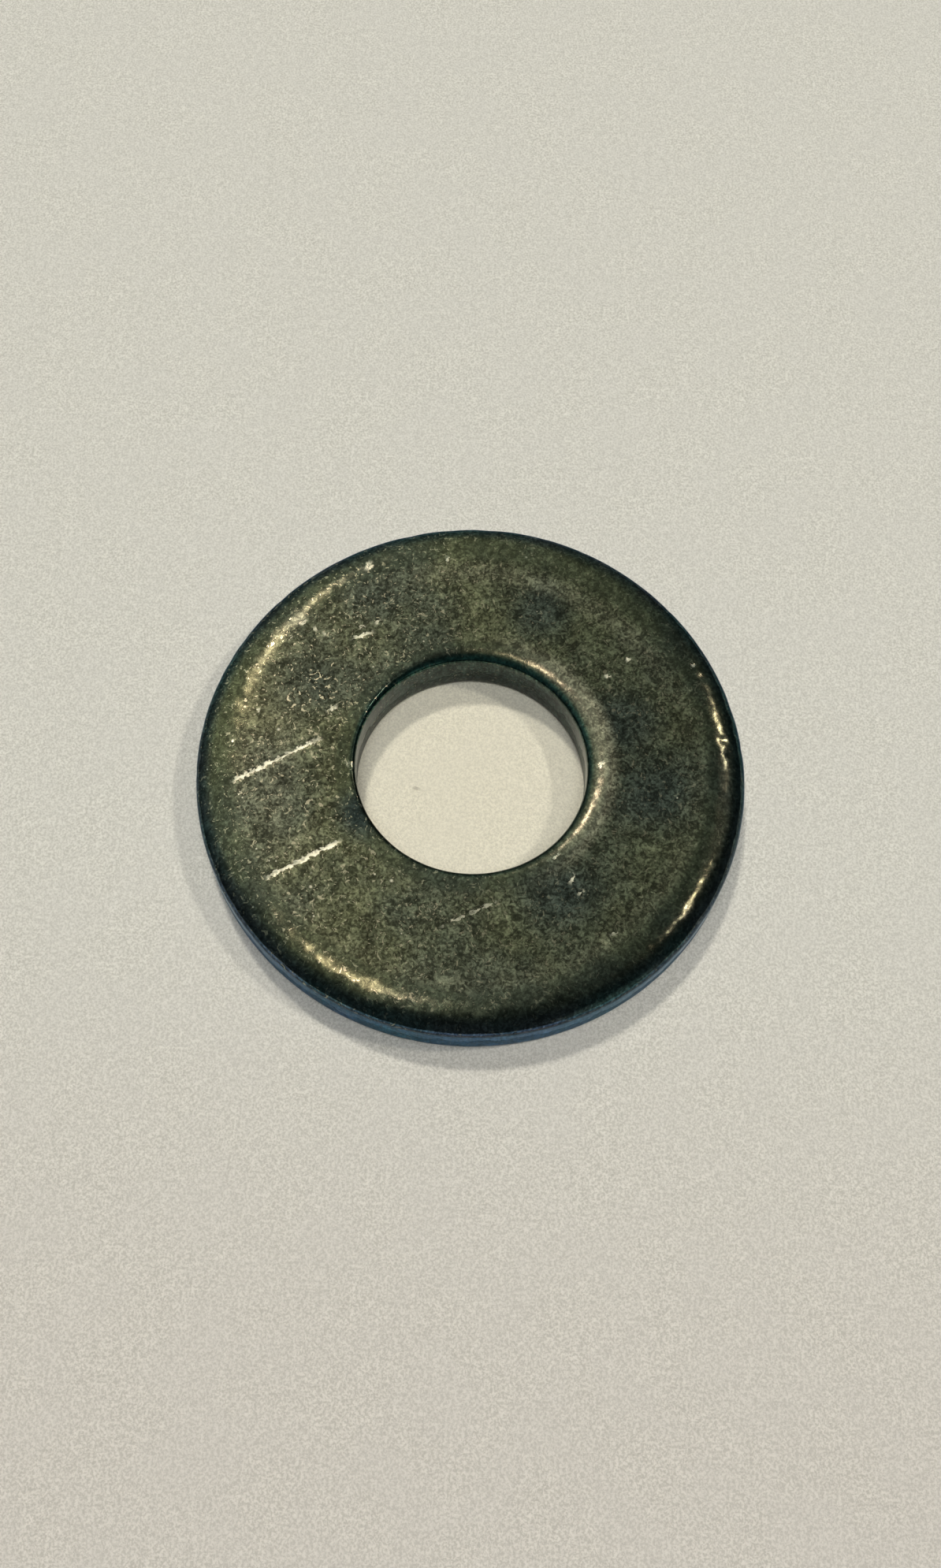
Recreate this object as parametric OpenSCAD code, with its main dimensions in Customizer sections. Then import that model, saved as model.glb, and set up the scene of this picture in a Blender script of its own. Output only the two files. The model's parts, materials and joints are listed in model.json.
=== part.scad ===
// Flat washer: one stamped and tumbled steel ring.
// The origin is the centre of the underside, and +Z runs along the hole.
// A punched ring has soft, rolled edges on the side the punch enters, which is the top here,
// and a small break on the edges of the side it leaves.

/* [Ring] */
// Outside diameter
outer_d = 22.6; // [18:0.1:30]
// Diameter of the hole
hole_d = 9.5; // [5:0.1:12]
// Thickness between the two flat faces
thickness = 2.3; // [1.6:0.1:4]

/* [Edges] */
// Radius of the rolled edge round the outside, on top
outer_roll_r = 0.8; // [0.2:0.05:1]
// Radius of the rolled edge round the hole, on top
hole_roll_r = 0.45; // [0.2:0.05:1]
// Radius of both edges on the underside
underside_r = 0.25; // [0.1:0.05:0.5]

/* [Hidden] */

$fn = 180;
outer_r = outer_d / 2;
hole_r = hole_d / 2;
ring_w = outer_r - hole_r;
// How far the cutting shapes run past the solid, so that no two faces coincide
overrun = 0.1;

// What a rounded edge of radius r takes off a square corner that lies at the origin,
// with the metal below it and to its left
module corner_waste(r) {
    difference() {
        translate([-r, -r])
            square(r + overrun);
        translate([-r, -r])
            circle(r);
    }
}

// Half of the ring's cross-section, with X as the radius and Y as the height
module section() {
    difference() {
        translate([hole_r, 0])
            square([ring_w, thickness]);
        translate([outer_r, thickness])
            corner_waste(outer_roll_r);
        translate([hole_r, thickness])
            mirror([1, 0])
                corner_waste(hole_roll_r);
        translate([outer_r, 0])
            mirror([0, 1])
                corner_waste(underside_r);
        translate([hole_r, 0])
            rotate(180)
                corner_waste(underside_r);
    }
}

module washer() {
    color([0.27, 0.28, 0.24])
        rotate_extrude()
            section();
}

washer();
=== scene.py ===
import json
import math
from types import SimpleNamespace

import bpy
import numpy as np
from mathutils import Matrix, Vector


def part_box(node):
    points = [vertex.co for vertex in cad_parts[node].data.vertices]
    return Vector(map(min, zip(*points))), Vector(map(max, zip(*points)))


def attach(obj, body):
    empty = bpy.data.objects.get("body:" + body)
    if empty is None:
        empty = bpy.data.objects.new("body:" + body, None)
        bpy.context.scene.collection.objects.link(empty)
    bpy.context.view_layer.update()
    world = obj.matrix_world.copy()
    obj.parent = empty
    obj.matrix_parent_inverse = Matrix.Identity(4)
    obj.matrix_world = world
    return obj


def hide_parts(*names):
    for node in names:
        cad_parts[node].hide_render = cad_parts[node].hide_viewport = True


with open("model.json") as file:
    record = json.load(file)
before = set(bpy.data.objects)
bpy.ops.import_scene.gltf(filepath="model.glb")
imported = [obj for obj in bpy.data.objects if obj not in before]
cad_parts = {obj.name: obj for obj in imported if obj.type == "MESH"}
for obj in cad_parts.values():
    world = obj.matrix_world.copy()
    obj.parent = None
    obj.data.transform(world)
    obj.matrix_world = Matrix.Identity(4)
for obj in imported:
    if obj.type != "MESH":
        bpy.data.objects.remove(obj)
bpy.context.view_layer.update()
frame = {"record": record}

# Named lengths are in millimetres in the part's frame, and named angles in degrees.
# Blender works in metres, so lengths are multiplied by MM on their way in.
MM = 0.001
SEED = 11

# ---------------------------------------------------------------- sizes from the frame
low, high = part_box("washer")
bore = next(m for m in frame["record"]["mounts"] if m["name"] == "bore")
OUTER_R = high.x / MM
THICKNESS = (high.z - low.z) / MM
HOLE_R = bore["dims"]["r_mm"]

# ---------------------------------------------------------------- the ring's edges
# A punched edge starts to fall a long way in, and gets steeper towards the wall.
# Width is how far in from the wall it starts, drop is how far down the wall it ends,
# and the power is 2 for an ellipse and more for a squarer corner. The punch sat a little
# off centre, so each lobe changes the width and the drop on one side of the ring:
# its middle and its reach round the ring, then what it adds to the two.
OUTER_ROLL = {
    "width": 1.6, "drop": 0.8, "power": 2.15,
    "lobes": [(172, 42, 0.6, -0.08), (80, 42, -0.7, -0.3), (-95, 60, 0.0, -0.12)],
}
HOLE_ROLL = {
    "width": 0.2, "drop": 0.22, "power": 2.15,
    "lobes": [(22, 76, 1.0, 0.2), (110, 34, 0.15, 0.12)],
}
BREAK = {"width": 0.25, "drop": 0.25, "power": 2.0, "lobes": []}

# How finely the mesh is cut: columns round the ring, and rows along each stretch of its section
COLUMNS = 840
ROWS = {"outer_roll": 18, "outer_wall": 6, "break": 5, "underside": 22, "hole_wall": 5,
        "hole_roll": 11, "face": 44}

# ---------------------------------------------------------------- wear in the shape
# Waves all over the ring: wavelength and height
WAVES = [(7.0, 0.006), (1.3, 0.0022), (0.55, 0.0008)]
# Dents from tumbling: how many, and the least and most of their radius and depth
RIM_DENTS = {"count": 90, "radius": (0.12, 0.4), "depth": (0.006, 0.026)}
FACE_DENTS = {"count": 260, "radius": (0.1, 0.28), "depth": (0.002, 0.010)}
# How deep the brightest scratch is
SCRATCH_DEPTH = 0.012

# ---------------------------------------------------------------- wear in the finish
# Points are (x, y).
# Scratches and nicks down to bare metal: start, end, half the width, and how bright, from 0 to 1
SCRATCHES = [
    ((-9.8, -1.5), (-6.1, 0.8), 0.11, 1.0),
    ((-8.1, -5.6), (-4.9, -3.6), 0.10, 0.9),
    ((-1.1, -7.2), (1.5, -5.8), 0.05, 0.35),
    ((-5.5, 5.3), (-4.3, 5.8), 0.10, 0.8),
    ((-6.2, 1.9), (-5.6, 2.3), 0.09, 0.6),
    ((5.7, -7.1), (6.2, -6.9), 0.05, 0.5),
]
NICKS = [
    ((-5.05, 8.6), (-4.75, 9.3), 0.20, 0.45),
    ((-1.6, 9.3), (-1.5, 9.7), 0.07, 0.6),
    ((6.2, 5.0), (6.5, 5.2), 0.12, 0.8),
    ((5.3, 4.2), (5.7, 4.3), 0.08, 0.9),
    ((9.0, 4.9), (9.2, 5.1), 0.06, 0.5),
    ((-9.5, -2.1), (-9.1, -1.8), 0.07, 0.7),
    ((4.1, -5.1), (4.4, -4.5), 0.09, 0.8),
    ((4.4, -5.5), (4.8, -5.2), 0.06, 0.6),
    ((3.3, -4.1), (3.8, -3.7), 0.07, 0.6),
    ((5.1, 0.1), (5.5, 0.4), 0.09, 0.7),
    ((-5.1, 5.8), (-4.7, 6.2), 0.08, 0.6),
    ((-8.0, 5.1), (-7.8, 5.4), 0.07, 0.8),
    ((-9.1, 1.6), (-8.8, 2.0), 0.06, 0.6),
    ((-5.1, -0.2), (-5.0, -0.6), 0.08, 0.2),
    ((-7.7, 5.9), (-7.2, 6.2), 0.11, 0.45),
    ((-7.0, 5.9), (-6.8, 5.6), 0.08, 0.45),
    ((-6.6, 5.7), (-6.4, 5.4), 0.07, 0.35),
    ((-4.5, 6.1), (-4.1, 6.4), 0.06, 0.45),
]
# The patch where pale ticks crowd, partly worn finish and partly painted glints: centre and radius
TICK_AND_GLINT_PATCH = ((-7.6, 3.3), 2.6)
# Dark patches: centre, radius and how dark, from 0 to 1
DARK_PATCHES = [
    ((-4.25, -2.45), 1.7, 1.0),
    ((-7.2, 2.8), 2.3, 0.45),
    ((7.4, -0.9), 2.6, 0.7),
    ((6.3, 2.2), 2.2, 0.7),
    ((2.6, 7.2), 2.0, 0.7),
    ((3.6, -5.6), 2.4, 0.7),
    ((-4.9, 7.0), 2.8, 0.3),
]
# Arcs rubbed down to greyer metal, and painted sheen: the arc on the hole's roll is a
# painted reflection of a soft light. Each is the middle and the reach round the ring, the radius,
# half the width, and how much, from 0 to 1
RUBBED_AND_SHEEN_ARCS = [
    (68, 56, 8.9, 0.75, 0.22),
    (12, 82, 5.5, 0.75, 1.0),
    (-80, 130, 9.3, 0.8, 0.11),
    (191, 38, 8.3, 2.2, 0.18),
]
# One dark fibre in the paper, inside the hole: start, end, half the width, and how dark,
# from 0 to 1
FIBRE = ((-2.52, -0.25), (-2.05, -0.40), 0.10, 0.55)

# ---------------------------------------------------------------- finish
# Colours are red, green and blue. On a surface each is from 0 to 1.
WHITE = (1.0, 1.0, 1.0)
FACE_OLIVE = (0.078, 0.090, 0.054)
FACE_GREY = (0.060, 0.074, 0.055)
DARK_CLOUDS = (0.036, 0.046, 0.036)
RIGHT_SIDE = (0.034, 0.045, 0.034)
DARK_PATCH_COLOUR = (0.027, 0.039, 0.038)
ROLL_GREEN = (0.034, 0.064, 0.060)
ROLL_GREY = (0.040, 0.050, 0.052)
WALL_TEAL = (0.026, 0.076, 0.106)
WALL_BLUE = (0.032, 0.062, 0.120)
WALL_GREY = (0.052, 0.062, 0.056)
LIP_BRONZE = (0.050, 0.042, 0.037)
HOLE_WALL = (0.032, 0.052, 0.045)
LIP_OLIVE = (0.030, 0.046, 0.034)
LIP_TEAL = (0.052, 0.155, 0.128)
# Greyer rubbed metal, also the colour of the painted sheen on the hole's roll
RUBBED_AND_SHEEN = (0.145, 0.152, 0.114)
# Pale ticks: partly tumbling marks, partly painted glints of the grain catching the light
TICKS_AND_GLINTS = (0.41, 0.41, 0.30)
BARE_METAL = (0.80, 0.85, 0.70)
# How much of each colour the metal mirrors at a grazing angle, where it isn't all of it
EDGE_ON_TOP = (0.42, 0.45, 0.55)
EDGE_ON_OUTER_WALL = (0.60, 0.75, 0.88)

# How rough each zone is, and what bare metal adds to that
ROUGHNESS = {"face": (0.27, 0.33), "roll": 0.18, "rim": 0.14, "fracture": 0.36, "bare": 0.10}
# How high the fine relief is, and how far bare metal lies below it
RELIEF = {"face_grain": 0.005, "roll_grain": 0.0016, "beads": 0.013, "pits": 0.020, "bare": 0.006}

PAPER_DARK = (0.68, 0.69, 0.65)
PAPER_PALE = (0.92, 0.93, 0.89)
PAPER_CLOUDS = (0.79, 0.80, 0.78)
PAPER_SMOOTH = (0.80, 0.81, 0.77)
FIBRE_COLOUR = (0.16, 0.14, 0.12)
# What the paper's colour is multiplied by: a painted shade in a band on the near side, and
# painted light inside the hole
NEAR_PAINTED_SHADE = (0.95, 0.92, 0.925)
HOLE_PAINTED_LIGHT = (1.13, 1.09, 0.98)

# ---------------------------------------------------------------- view and light
CAMERA_ELEVATION = 67.2
CAMERA_ROLL = 3.1
CAMERA_DISTANCE = 6.03 * OUTER_R
LENS = 37.1
SENSOR_WIDTH = 36
CLIP_START, CLIP_END = 1, 4000
FLOOR_HALF = 1500
# How far the floor lies under the washer, so that the two don't coincide
FLOOR_GAP = 0.002

# Lamps: azimuth (0 is +X, 90 is +Y) and elevation of the direction they shine from, how wide
# they look, and their strength. The glints light only gloss, nearly all of it the metal's. The
# others light only the floor and cast its shadows, and the fill is a wide one from overhead.
GLINTS = [
    (115, 53, 8, 0.30),
    (10, 58, 5, 0.20),
    (44, 47, 5, 0.30),
    (162, 80, 7, 0.19),
]
GLINT_COLOUR = (1.0, 0.72, 0.61)
LAMPS = [
    (110, 61, 6, 1.08),
    (10, 55, 5, 0.58),
]
LAMP_COLOUR = (1.0, 0.93, 0.80)
FILL = (-90, 78, 32, 1.08)
FILL_COLOUR = (1.0, 0.99, 0.95)
# The room that the metal mirrors: its colour, and soft glows on its ceiling and walls, as
# azimuth and elevation of the middle, how far the full brightness and the last of it reach,
# and the colour
ROOM_COLOUR = (0.070, 0.085, 0.088)
GLOWS = [
    (112, 46, 8, 74, (0.40, 0.44, 0.41)),
    (124, 52, 3, 36, (1.14, 1.12, 0.92)),
    (162, 80, 2, 22, (0.85, 0.82, 0.72)),
    (-45, 10, 4, 24, (0.30, 0.31, 0.29)),
    (28, 52, 2, 16, (0.46, 0.44, 0.44)),
]
# What the camera sees past the floor, close to the lit paper's colour
BACKDROP_COLOUR = (0.635, 0.612, 0.528)


# ---------------------------------------------------------------- the ring's shape
def spread(start, end, steps):
    """Evenly spaced values from start up to, and without, end."""
    return np.linspace(start, end, steps, endpoint=False)


def roll_size(roll, angle):
    """Width and drop of a rolled edge at each angle, in radians, round the ring."""
    width = roll["width"] * np.ones_like(angle)
    drop = roll["drop"] * np.ones_like(angle)
    for side, reach, more_width, more_drop in roll["lobes"]:
        away = np.angle(np.exp(1j * (angle - math.radians(side))), deg=True)
        near = np.exp(-((away / reach) ** 2))
        width += more_width * near
        drop += more_drop * near
    return width, drop


def fall(u, roll, angle):
    """How far in from the wall and how far down a rolled edge is at u.

    u is 0 where it leaves the flat face, and 1 where it meets the wall.
    """
    turn = u * math.pi / 2
    share = 2 / roll["power"]
    width, drop = roll_size(roll, angle)
    return width * (1 - np.sin(turn) ** share), drop * (1 - np.cos(turn) ** share)


def rings(angle):
    """The section at each angle, as rings of (radius, height) all the way round it.

    They start where the outer roll leaves the top face, and go down the wall, in under the
    ring, up the hole, and back out over the top face.
    """
    around = np.ones_like(angle)
    outer_width, outer_drop = roll_size(OUTER_ROLL, angle)
    hole_width, hole_drop = roll_size(HOLE_ROLL, angle)
    found = []

    def ring(radius, height):
        found.append((radius * around, height * around))

    for u in spread(0, 1, ROWS["outer_roll"]):
        out, down = fall(u, OUTER_ROLL, angle)
        ring(OUTER_R - out, THICKNESS - down)
    for share in spread(0, 1, ROWS["outer_wall"]):
        ring(OUTER_R, (1 - share) * (THICKNESS - outer_drop) + share * BREAK["drop"])
    for u in spread(1, 0, ROWS["break"]):
        out, down = fall(u, BREAK, angle)
        ring(OUTER_R - out, down)
    for radius in spread(OUTER_R - BREAK["width"], HOLE_R + BREAK["width"], ROWS["underside"]):
        ring(radius, 0)
    for u in spread(0, 1, ROWS["break"]):
        out, down = fall(u, BREAK, angle)
        ring(HOLE_R + out, down)
    for share in spread(0, 1, ROWS["hole_wall"]):
        ring(HOLE_R, (1 - share) * BREAK["drop"] + share * (THICKNESS - hole_drop))
    for u in spread(1, 0, ROWS["hole_roll"]):
        out, down = fall(u, HOLE_ROLL, angle)
        ring(HOLE_R + out, THICKNESS - down)
    inner, outer = HOLE_R + hole_width, OUTER_R - outer_width
    for share in spread(0, 1, ROWS["face"]):
        ring(inner + share * (outer - inner), THICKNESS)
    return np.array(found)


def ring_mesh(name):
    """The ring as a closed mesh of four-sided faces, in millimetres."""
    angle = spread(0, 2 * math.pi, COLUMNS)
    section = rings(angle)
    rows = len(section)
    radius, height = section[:, 0], section[:, 1]
    points = np.stack([radius * np.cos(angle), radius * np.sin(angle), height], axis=-1)
    row, column = np.meshgrid(np.arange(rows), np.arange(COLUMNS), indexing="ij")
    next_row, next_column = (row + 1) % rows, (column + 1) % COLUMNS
    corners = [(row, column), (next_row, column), (next_row, next_column), (row, next_column)]
    faces = np.stack([r * COLUMNS + c for r, c in corners], axis=-1).reshape(-1, 4)
    mesh = bpy.data.meshes.new(name)
    mesh.from_pydata(points.reshape(-1, 3).tolist(), [], faces.tolist())
    mesh.shade_smooth()
    return mesh


def read_points(mesh, what="co"):
    """The places of the mesh's points, or with "normal" the directions they face."""
    values = np.zeros(len(mesh.vertices) * 3, np.float32)
    mesh.vertices.foreach_get(what, values)
    return values.reshape(-1, 3).astype(float)


def ripple(points, wavelength, rng, waves=28):
    """A smooth random field from about -1 to 1, with bumps about one wavelength apart."""
    way = rng.normal(size=(waves, 3))
    way *= (2 * math.pi / wavelength) / np.linalg.norm(way, axis=1)[:, None]
    phase = rng.uniform(0, 2 * math.pi, waves)
    return np.cos(points @ way.T + phase).sum(axis=1) / math.sqrt(waves * 2)


def dents(points, centres, sizes, rng):
    """How deep round dents at the centres go in at each point."""
    radii = rng.uniform(*sizes["radius"], sizes["count"])
    depths = rng.uniform(*sizes["depth"], sizes["count"])
    depth = np.zeros(len(points))
    for centre, radius, most in zip(centres, radii, depths):
        near = np.abs(points - centre).max(axis=1) < 3 * radius
        away = ((points[near] - centre) ** 2).sum(axis=1)
        depth[near] = np.maximum(depth[near], most * np.exp(-away / radius ** 2))
    return depth


def grooves(points):
    """How deep the scratches go in at each point of the top face."""
    depth = np.zeros(len(points))
    for start, end, half_width, bright in SCRATCHES:
        start, along = np.array(start), np.array(end) - np.array(start)
        length = np.linalg.norm(along)
        along /= length
        offset = points[:, :2] - start
        gone = offset @ along
        aside = offset @ np.array((-along[1], along[0]))
        taper = min(0.4, length / 2)
        ends = np.clip(gone / taper, 0, 1) * np.clip((length - gone) / taper, 0, 1)
        depth += bright * SCRATCH_DEPTH * ends * np.exp(-((aside / half_width) ** 2))
    return depth * (points[:, 2] > THICKNESS / 2)


def on_rim(rng, count):
    """Random points on the roll of the outer rim."""
    angle = rng.uniform(0, 2 * math.pi, count)
    u = rng.uniform(0.15, 1, count)
    out, down = fall(u, OUTER_ROLL, angle)
    radius = OUTER_R - out
    return np.stack([radius * np.cos(angle), radius * np.sin(angle), THICKNESS - down], axis=-1)


def on_faces(rng, count):
    """Random points on the top face and on the underside."""
    angle = rng.uniform(0, 2 * math.pi, count)
    radius = np.sqrt(rng.uniform(HOLE_R ** 2, OUTER_R ** 2, count))
    height = rng.choice([0, THICKNESS], count)
    return np.stack([radius * np.cos(angle), radius * np.sin(angle), height], axis=-1)


def wear(mesh):
    """Presses the waves, dents and scratches into the mesh, and turns it into metres.

    It only takes metal away, so the ring stays inside the box of the CAD part.
    """
    rng = np.random.default_rng(SEED)
    points, out = read_points(mesh), read_points(mesh, "normal")
    depth = np.zeros(len(points))
    for wavelength, height in WAVES:
        depth += height * (1 + ripple(points, wavelength, rng))
    depth += dents(points, on_rim(rng, RIM_DENTS["count"]), RIM_DENTS, rng)
    depth += dents(points, on_faces(rng, FACE_DENTS["count"]), FACE_DENTS, rng)
    depth += grooves(points)
    points -= out * np.maximum(depth, 0)[:, None]
    points = np.clip(points * MM, np.array(low), np.array(high))
    mesh.vertices.foreach_set("co", points.astype(np.float32).ravel())
    mesh.update()


# ---------------------------------------------------------------- shader nodes
def add(tree, kind, inputs=(), out=0, **settings):
    """Adds a node, sets or joins its inputs by name or number, and gives one of its outputs."""
    made = tree.nodes.new(kind)
    for name, value in settings.items():
        setattr(made, name, value)
    for key, value in dict(inputs).items():
        if isinstance(value, bpy.types.NodeSocket):
            tree.links.new(value, made.inputs[key])
        else:
            made.inputs[key].default_value = value
    return made.outputs[out]


def maths(tree, operation, a, b=0.0):
    return add(tree, "ShaderNodeMath", {0: a, 1: b}, operation=operation)


def product(tree, first, *others):
    """Numbers multiplied together."""
    for other in others:
        first = maths(tree, "MULTIPLY", first, other)
    return first


def between(tree, value, start, end, low_value=0.0, high_value=1.0):
    """Goes smoothly from low_value to high_value as value goes from start to end."""
    inputs = {0: value, 1: start, 2: end, 3: low_value, 4: high_value}
    return add(tree, "ShaderNodeMapRange", inputs, interpolation_type="SMOOTHSTEP")


def opaque(shade):
    """A colour as a socket takes it: with full alpha, or as it is if it is a socket itself."""
    return shade if isinstance(shade, bpy.types.NodeSocket) else (*shade, 1.0)


def mix(tree, factor, a, b):
    """Colour a where factor is 0, and b where it is 1."""
    inputs = {0: factor, 6: opaque(a), 7: opaque(b)}
    return add(tree, "ShaderNodeMix", inputs, out=2, data_type="RGBA")


def mix_number(tree, factor, a, b):
    """Number a where factor is 0, and b where it is 1."""
    return add(tree, "ShaderNodeMix", {0: factor, 2: a, 3: b})


def times(tree, a, b):
    """Two colours or two places multiplied part by part."""
    return add(tree, "ShaderNodeVectorMath", {0: a, 1: b}, operation="MULTIPLY")


def tinted(tree, base, shade):
    """A colour made lighter or darker by a number."""
    return add(tree, "ShaderNodeVectorMath", {0: base, "Scale": shade}, operation="SCALE")


def noise(tree, where, size, seed, detail=2.0, roughness=0.5, distortion=0.0):
    """Cloudy noise from 0 to 1 whose largest bumps are size wide. The seed picks which."""
    inputs = {"Vector": where, "W": seed, "Scale": 1 / size, "Detail": detail,
              "Roughness": roughness, "Distortion": distortion}
    return add(tree, "ShaderNodeTexNoise", inputs, noise_dimensions="4D")


def spots(tree, where, spacing, seed, share, radius):
    """Round spots on a random share of the cells that are spacing wide, 0 past radius."""
    inputs = {"Vector": where, "W": seed, "Scale": 1 / spacing}
    away = add(tree, "ShaderNodeTexVoronoi", inputs, voronoi_dimensions="4D")
    cell = away.node.outputs["Color"]
    chosen = maths(tree, "LESS_THAN", add(tree, "ShaderNodeSeparateColor", {0: cell}), share)
    spot = between(tree, away, radius / spacing, 0.3 * radius / spacing)
    return product(tree, spot, chosen)


def in_mm(tree):
    """The place on the piece, in millimetres."""
    place = add(tree, "ShaderNodeTexCoord", out="Object")
    return add(tree, "ShaderNodeVectorMath", {0: place, "Scale": 1 / MM}, operation="SCALE")


def axes(tree, where):
    """The x, y and z of a place."""
    return add(tree, "ShaderNodeSeparateXYZ", {0: where}).node.outputs[:3]


def from_origin(tree, where):
    """How far a place is from the origin."""
    return add(tree, "ShaderNodeVectorMath", {0: where}, out="Value", operation="LENGTH")


def new_material(name):
    material = bpy.data.materials.new(name)
    material.use_nodes = True
    tree = material.node_tree
    return material, tree, tree.nodes["Principled BSDF"]


def scratch_mask(tree, x, y, wobble, start, end, half_width, bright):
    """Up to bright along one scratch, whose edges wobble, and 0 elsewhere."""
    run, rise = end[0] - start[0], end[1] - start[1]
    whole = math.hypot(run, rise)
    run, rise = run / whole, rise / whole
    from_x, from_y = maths(tree, "SUBTRACT", x, start[0]), maths(tree, "SUBTRACT", y, start[1])
    gone = maths(tree, "ADD", product(tree, from_x, run), product(tree, from_y, rise))
    aside = maths(tree, "SUBTRACT", product(tree, from_y, run), product(tree, from_x, rise))
    edge = maths(tree, "ADD", maths(tree, "ABSOLUTE", aside), wobble)
    band = between(tree, edge, half_width, 0.4 * half_width)
    taper = min(0.7, whole / 2)
    start_fade = between(tree, gone, 0, taper)
    end_fade = between(tree, gone, whole, whole - taper)
    return product(tree, band, product(tree, start_fade, end_fade), bright)


def near_point(tree, place, centre, full, last):
    """1 within the distance full of a point on the faces, and 0 past the distance last."""
    inputs = {0: place, 1: (*centre, 0)}
    away = add(tree, "ShaderNodeVectorMath", inputs, out="Value", operation="DISTANCE")
    return between(tree, away, last, full)


def rubbed_and_sheen_arc(tree, at, middle, reach, arc_radius, half_width, amount):
    """Up to amount in the middle of one arc of rubbed metal and painted sheen, and 0 away from it."""
    toward = direction(middle, 0)
    along = maths(tree, "ADD", product(tree, at.x, toward.x), product(tree, at.y, toward.y))
    cosine = maths(tree, "DIVIDE", along, at.radius)
    off = maths(tree, "ABSOLUTE", maths(tree, "SUBTRACT", at.radius, arc_radius))
    within = between(tree, cosine, math.cos(math.radians(reach)), 1.0)
    return product(tree, within, between(tree, off, half_width, 0, 0, amount))


# ---------------------------------------------------------------- steel
def places(tree):
    """The place on the ring in millimetres, and how much it is in each zone, from 0 to 1."""
    at = SimpleNamespace(where=in_mm(tree))
    at.x, at.y, at.z = axes(tree, at.where)
    at.flat = add(tree, "ShaderNodeCombineXYZ", {0: at.x, 1: at.y})
    at.radius = from_origin(tree, at.flat)
    at.top = between(tree, at.z, THICKNESS - 0.5, THICKNESS - 0.3)
    at.outer_edge = between(tree, at.radius, OUTER_R - 0.8, OUTER_R - 0.1)
    at.hole_edge = between(tree, at.radius, HOLE_R + 0.35, HOLE_R + 0.05)
    at.outer_wall = between(tree, at.radius, OUTER_R - 0.14, OUTER_R - 0.04)
    at.hole_wall = between(tree, at.radius, HOLE_R + 0.12, HOLE_R + 0.04)
    at.wall = maths(tree, "MAXIMUM", at.outer_wall, at.hole_wall)
    outer_roll = between(tree, at.radius, OUTER_R - 2.0, OUTER_R - 1.4)
    hole_roll = between(tree, at.radius, HOLE_R + 1.0, HOLE_R + 0.7)
    at.rolls = maths(tree, "MAXIMUM", outer_roll, hole_roll)
    # The punch tears the lowest millimetre of the walls, up to a ragged line
    ragged = between(tree, noise(tree, at.where, 1.1, 17.0, 3.0, 0.6), 0.3, 0.7, -0.28, 0.28)
    below = between(tree, maths(tree, "ADD", at.z, ragged), 0.98, 0.90)
    at.fracture = product(tree, at.wall, below)
    return at


def face_film(tree, at):
    """Olive and grey clouds that darken to the right, with dark patches on the top face."""
    clouds = between(tree, noise(tree, at.where, 4.5, 1.0, 3.0), 0.40, 0.64)
    dark_clouds = between(tree, noise(tree, at.where, 2.6, 2.0, 4.0, 0.6), 0.48, 0.70)
    film = mix(tree, clouds, FACE_OLIVE, FACE_GREY)
    film = mix(tree, product(tree, dark_clouds, 0.5), film, DARK_CLOUDS)
    film = mix(tree, between(tree, at.x, -6, 7, 0, 0.40), film, RIGHT_SIDE)
    for centre, reach, dark in DARK_PATCHES:
        patch_darkness = product(tree, near_point(tree, at.flat, centre, 0.2 * reach, reach), dark)
        film = mix(tree, product(tree, patch_darkness, at.top), film, DARK_PATCH_COLOUR)
    return tinted(tree, film, between(tree, at.y, -5, 3, 0.93, 0.80))


def rim_film(tree, at):
    """Dark green on the roll, blue to grey on the wall, a bronze lip between the two, and painted
    light and shade.
    """
    bloom = between(tree, noise(tree, at.where, 2.4, 12.0, 3.0), 0.36, 0.64)
    roll = mix(tree, bloom, ROLL_GREEN, ROLL_GREY)
    wall = mix(tree, between(tree, at.y, 2, -8, 0.22, 1.0), WALL_GREY,
               mix(tree, bloom, WALL_TEAL, WALL_BLUE))
    film = mix(tree, at.outer_wall, roll, wall)
    # Painted light and shade: lighter on the near side, where the rim mirrors a dark room, and darker
    # to the right, where it mirrors shaded paper
    shade = product(tree, between(tree, at.y, 2, -7, 1.0, 1.5), between(tree, at.x, -3, 7, 1.1, 0.95))
    film = tinted(tree, film, shade)
    wall_top = THICKNESS - OUTER_ROLL["drop"] + 0.12
    lip = product(tree, between(tree, at.z, wall_top - 0.10, wall_top),
                  between(tree, at.z, wall_top + 0.22, wall_top + 0.12))
    return mix(tree, product(tree, lip, 0.85), film, LIP_BRONZE)


def hole_film(tree, at):
    """Grey on the hole's wall, and round its top teal on the far side and olive on the near one."""
    lip = mix(tree, between(tree, at.y, -2, 3), LIP_OLIVE, LIP_TEAL)
    lip = tinted(tree, lip, between(tree, at.x, -4, 0.5, 0.40, 1.0))
    return mix(tree, between(tree, at.z, THICKNESS - 0.34, THICKNESS - 0.14), HOLE_WALL, lip)


def shading(tree, at, grain):
    """How much the grain, the dust and the streaks on the walls lighten or darken the film."""
    blotches = between(tree, noise(tree, at.where, 0.7, 3.0, 3.0, 0.6), 0.30, 0.70, 0.74, 1.28)
    dust = between(tree, noise(tree, at.where, 0.09, 10.0, 1.0), 0.30, 0.70, 0.72, 1.28)
    shade = product(tree, between(tree, grain, 0.38, 0.68, 0.50, 2.10), blotches, dust)
    shade = mix_number(tree, product(tree, at.rolls, 0.35), shade, 1.0)
    # Squeezing the height makes the noise run up and down the walls
    squeezed = times(tree, at.where, (1, 1, 0.3))
    streaks = noise(tree, squeezed, 0.12, 13.0, 3.0, 0.6)
    streaks = between(tree, streaks, 0.35, 0.65, 0.60, 1.45)
    streaks = product(tree, streaks, mix_number(tree, at.fracture, 1.0, 0.72))
    return product(tree, shade, mix_number(tree, at.wall, 1.0, streaks))


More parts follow.
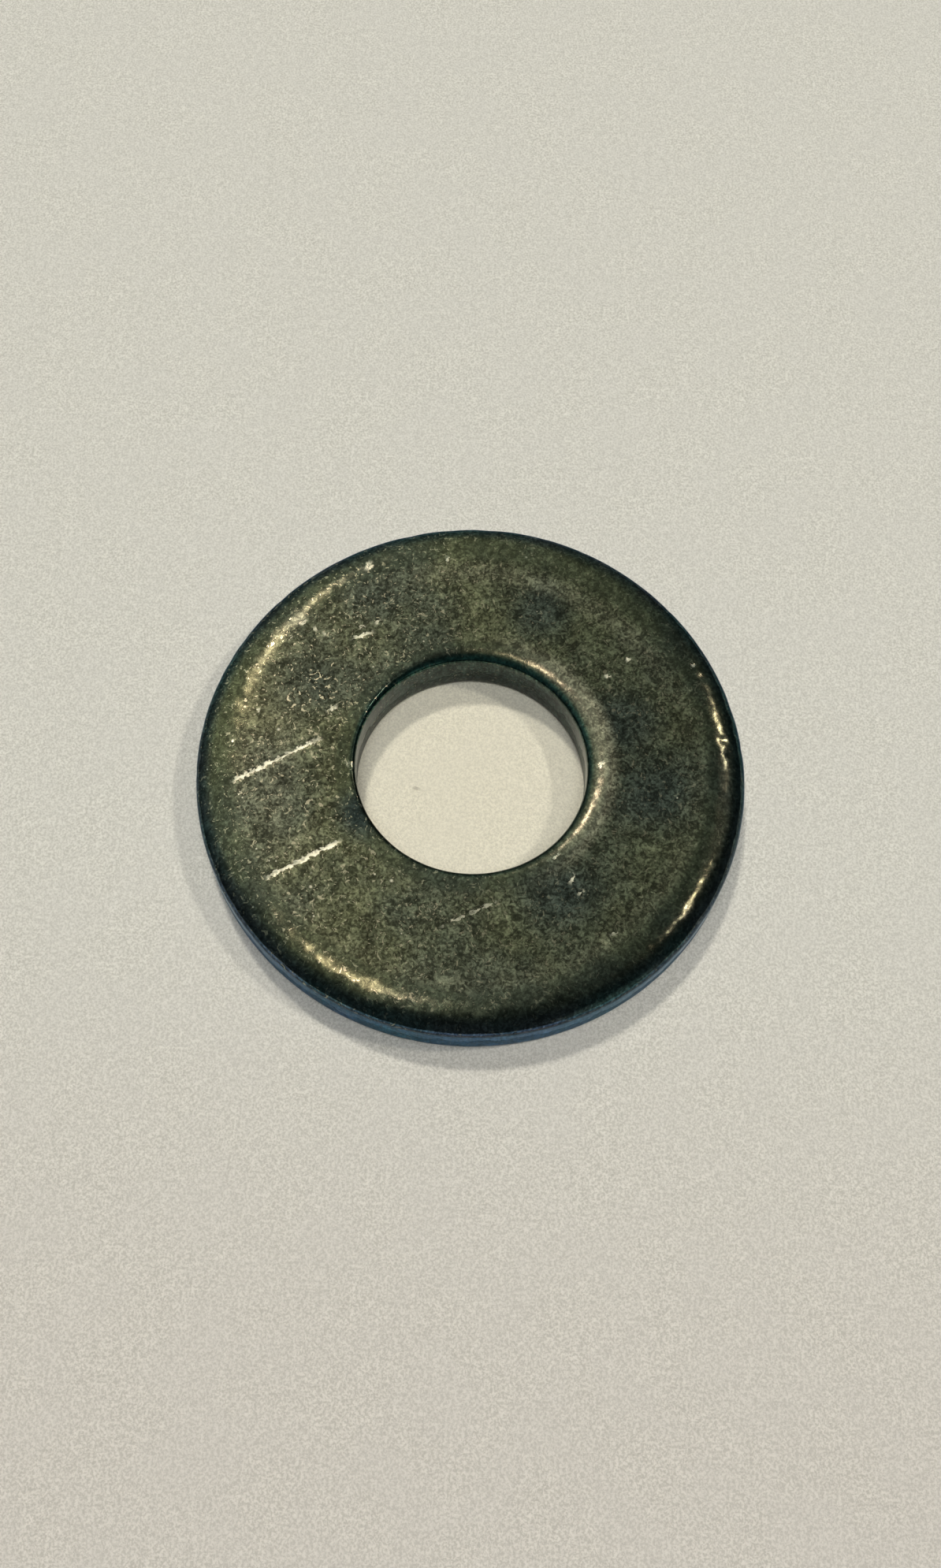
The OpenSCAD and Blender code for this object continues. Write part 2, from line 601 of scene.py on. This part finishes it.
def rubbed_and_sheen(tree, at):
    """How much of the finish the rubbed arcs have lost, with the painted sheen on the hole's roll."""
    most = 0.0
    for arc in RUBBED_AND_SHEEN_ARCS:
        most = maths(tree, "MAXIMUM", rubbed_and_sheen_arc(tree, at, *arc), most)
    return product(tree, most, at.top)


def pale_ticks_and_glints(tree, at):
    """Short pale ticks, partly tumbling marks and partly painted glints, most of them on the left and
    on the patch where they crowd.
    """
    found = between(tree, noise(tree, at.where, 0.32, 8.0, 2.0, 0.6, 2.4), 0.605, 0.655)
    centre, reach = TICK_AND_GLINT_PATCH
    patch = near_point(tree, at.flat, centre, 0.3 * reach, reach)
    share = between(tree, at.x, 5.0, -9.5, 0.20, 0.75)
    return product(tree, found, maths(tree, "ADD", share, product(tree, patch, 0.3)))


def bare_metal(tree, at):
    """Scratches, nicks and specks where the finish is gone."""
    wobble = between(tree, noise(tree, at.where, 0.16, 5.0, 2.0), 0.35, 0.65, -0.06, 0.06)
    uneven = between(tree, noise(tree, at.where, 0.22, 15.0, 2.0), 0.36, 0.54, 0.45, 1.0)
    bare = 0.0
    for scratch in SCRATCHES + NICKS:
        mask = scratch_mask(tree, at.x, at.y, wobble, *scratch)
        bare = maths(tree, "MAXIMUM", mask, bare)
    bare = product(tree, bare, uneven, at.top)
    share = between(tree, at.x, 6.0, -10.0, 0.05, 0.50)
    specks = maths(tree, "MAXIMUM", spots(tree, at.where, 0.62, 6.0, share, 0.10),
                   spots(tree, at.where, 0.40, 7.0, share, 0.06))
    return maths(tree, "MAXIMUM", bare, product(tree, specks, 0.5))


def steel_colour(tree, at, grain, bare):
    """The film of each zone, lightened by rubbed arcs and painted sheen, and worn through by pale
    ticks, painted glints and bare metal.
    """
    film = mix(tree, rubbed_and_sheen(tree, at), face_film(tree, at), RUBBED_AND_SHEEN)
    film = mix(tree, at.outer_edge, film, rim_film(tree, at))
    film = mix(tree, at.hole_edge, film, hole_film(tree, at))
    film = tinted(tree, film, shading(tree, at, grain))
    film = mix(tree, pale_ticks_and_glints(tree, at), film, TICKS_AND_GLINTS)
    return mix(tree, bare, film, BARE_METAL)


def steel_edge_on(tree, at):
    """What the metal mirrors at a grazing angle: most on the hole's wall, least on the top."""
    edge_on = mix(tree, at.outer_wall, EDGE_ON_TOP, EDGE_ON_OUTER_WALL)
    return mix(tree, at.hole_wall, edge_on, WHITE)


def steel_roughness(tree, at, bare):
    """Satin on the faces, smoother on the rolls, and dull where the walls are torn."""
    rim = between(tree, at.radius, OUTER_R - 1.2, OUTER_R - 0.9)
    rough = noise(tree, at.where, 0.8, 9.0, 3.0)
    rough = between(tree, rough, 0.35, 0.65, *ROUGHNESS["face"])
    rough = mix_number(tree, at.rolls, rough, ROUGHNESS["roll"])
    rough = mix_number(tree, rim, rough, ROUGHNESS["rim"])
    rough = mix_number(tree, at.fracture, rough, ROUGHNESS["fracture"])
    return maths(tree, "ADD", rough, product(tree, bare, ROUGHNESS["bare"]))


def steel_relief(tree, at, grain, bare):
    """Fine grain, beads on the rolls, a rough torn band, and bare metal a little lower."""
    grain_height = mix_number(tree, at.rolls, RELIEF["face_grain"], RELIEF["roll_grain"])
    beads = noise(tree, at.where, 0.45, 14.0, 0.0)
    beads = product(tree, beads, at.rolls, RELIEF["beads"])
    pits = noise(tree, at.where, 0.15, 16.0, 3.0, 0.7)
    pits = product(tree, pits, at.fracture, RELIEF["pits"])
    height = maths(tree, "ADD", product(tree, grain, grain_height), maths(tree, "ADD", beads, pits))
    height = maths(tree, "SUBTRACT", height, product(tree, bare, RELIEF["bare"]))
    return add(tree, "ShaderNodeBump", {"Height": height, "Distance": MM, "Strength": 1.0})


def steel():
    """Dark passivated steel, tumbled: a cloudy film, and bare metal where it is worn."""
    material, tree, shader = new_material("tumbled_steel")
    at = places(tree)
    grain = noise(tree, at.where, 0.24, 4.0, 3.0, 0.6, 1.2)
    bare = bare_metal(tree, at)
    shader.inputs["Metallic"].default_value = 1.0
    tree.links.new(steel_colour(tree, at, grain, bare), shader.inputs["Base Color"])
    tree.links.new(steel_edge_on(tree, at), shader.inputs["Specular Tint"])
    tree.links.new(steel_roughness(tree, at, bare), shader.inputs["Roughness"])
    tree.links.new(steel_relief(tree, at, grain, bare), shader.inputs["Normal"])
    return material


# ---------------------------------------------------------------- paper
def paper():
    """Pale writing paper with faint fibres, a little smoother inside the hole, where painted light
    makes it lighter and warmer, and with a painted shade in a band on the near side.
    """
    material, tree, shader = new_material("pale_paper")
    where = in_mm(tree)
    x, y, _ = axes(tree, where)
    fibres = noise(tree, where, 0.105, 21.0, 4.0, 0.75, 0.4)
    pulp = noise(tree, where, 0.32, 23.0, 2.0)
    clouds = noise(tree, where, 2.5, 22.0, 2.0)
    tint = mix(tree, between(tree, fibres, 0.43, 0.57), PAPER_DARK, PAPER_PALE)
    tint = tinted(tree, tint, between(tree, pulp, 0.3, 0.7, 0.955, 1.045))
    tint = mix(tree, between(tree, clouds, 0.3, 0.7, 0.0, 0.3), tint, PAPER_CLOUDS)
    tint = mix(tree, scratch_mask(tree, x, y, 0.0, *FIBRE), tint, FIBRE_COLOUR)
    # Painted shade: a band of the paper on the near side is a little darker
    near = product(tree, between(tree, y, 0, -28), between(tree, y, -130, -60))
    tint = times(tree, tint, mix(tree, near, WHITE, NEAR_PAINTED_SHADE))
    inside = between(tree, from_origin(tree, where), OUTER_R, HOLE_R)
    tint = mix(tree, product(tree, inside, 0.3), tint, PAPER_SMOOTH)
    # Painted light: the paper inside the hole is lighter and warmer
    tint = times(tree, tint, mix(tree, inside, WHITE, HOLE_PAINTED_LIGHT))
    tree.links.new(tint, shader.inputs["Base Color"])
    shader.inputs["Roughness"].default_value = 0.9
    shader.inputs["Specular IOR Level"].default_value = 0.2
    bump = {"Height": fibres, "Distance": 0.02 * MM, "Strength": 1.0}
    tree.links.new(add(tree, "ShaderNodeBump", bump), shader.inputs["Normal"])
    return material


# ---------------------------------------------------------------- pieces
def link(name, data):
    made = bpy.data.objects.new(name, data)
    bpy.context.scene.collection.objects.link(made)
    return made


def make_washer():
    mesh = ring_mesh("washer_ring")
    wear(mesh)
    mesh.materials.append(steel())
    washer = link("washer_ring", mesh)
    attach(washer, "root")
    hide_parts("washer")


def make_floor():
    half, height = FLOOR_HALF * MM, -FLOOR_GAP * MM
    mesh = bpy.data.meshes.new("floor")
    corners = [(x * half, y * half, height) for x, y in ((-1, -1), (1, -1), (1, 1), (-1, 1))]
    mesh.from_pydata(corners, [], [(0, 1, 2, 3)])
    mesh.materials.append(paper())
    link("floor", mesh)


# ---------------------------------------------------------------- lights, room and camera
def direction(azimuth, elevation):
    """The unit vector towards an azimuth and elevation."""
    a, e = math.radians(azimuth), math.radians(elevation)
    return Vector((math.cos(e) * math.cos(a), math.cos(e) * math.sin(a), math.sin(e)))


def make_sun(name, azimuth, elevation, width, strength, tint):
    """A lamp at infinity that looks width degrees wide."""
    lamp = bpy.data.lights.new(name, "SUN")
    lamp.energy = strength
    lamp.angle = math.radians(width)
    lamp.color = tint
    made = link(name, lamp)
    made.rotation_mode = "QUATERNION"
    made.rotation_quaternion = direction(azimuth, elevation).to_track_quat("Z", "Y")
    return made


def make_lights():
    """Lamps that only make glints, and lamps that only light the floor."""
    for number, glint in enumerate(GLINTS):
        made = make_sun(f"glint_{number}", *glint, GLINT_COLOUR)
        made.visible_diffuse = False
    for number, lamp in enumerate(LAMPS):
        made = make_sun(f"lamp_{number}", *lamp, LAMP_COLOUR)
        made.visible_glossy = False
    made = make_sun("fill", *FILL, FILL_COLOUR)
    made.visible_glossy = False


def glow(tree, way, azimuth, elevation, inner, outer):
    """1 within inner degrees of a direction and 0 past outer degrees."""
    inputs = {0: way, 1: tuple(direction(azimuth, elevation))}
    cosine = add(tree, "ShaderNodeVectorMath", inputs, out="Value", operation="DOT_PRODUCT")
    return between(tree, cosine, math.cos(math.radians(outer)), math.cos(math.radians(inner)))


def make_world():
    """A dim room with soft glows on its ceiling and walls, and a plain backdrop."""
    world = bpy.data.worlds.new("studio")
    world.use_nodes = True
    tree = world.node_tree
    way = add(tree, "ShaderNodeTexCoord", out="Generated")
    room = ROOM_COLOUR
    for azimuth, elevation, inner, outer, tint in GLOWS:
        room = mix(tree, glow(tree, way, azimuth, elevation, inner, outer), room, tint)
    seen = add(tree, "ShaderNodeLightPath", out="Is Camera Ray")
    final = mix(tree, seen, room, BACKDROP_COLOUR)
    tree.links.new(final, tree.nodes["Background"].inputs["Color"])
    bpy.context.scene.world = world
    world.cycles_visibility.diffuse = False


def make_camera():
    data = bpy.data.cameras.new("camera")
    data.lens = LENS
    data.sensor_width = SENSOR_WIDTH
    data.clip_start = CLIP_START * MM
    data.clip_end = CLIP_END * MM
    camera = link("camera", data)
    elevation, roll = math.radians(CAMERA_ELEVATION), math.radians(CAMERA_ROLL)
    back = Vector((0, -math.cos(elevation), math.sin(elevation)))
    turn = back.to_track_quat("Z", "Y").to_matrix().to_4x4()
    place = Matrix.Translation(back * CAMERA_DISTANCE * MM)
    camera.matrix_world = place @ turn @ Matrix.Rotation(roll, 4, "Z")
    bpy.context.scene.camera = camera


make_camera()
make_washer()
make_floor()
make_lights()
make_world()
bpy.context.scene.view_settings.view_transform = "Standard"
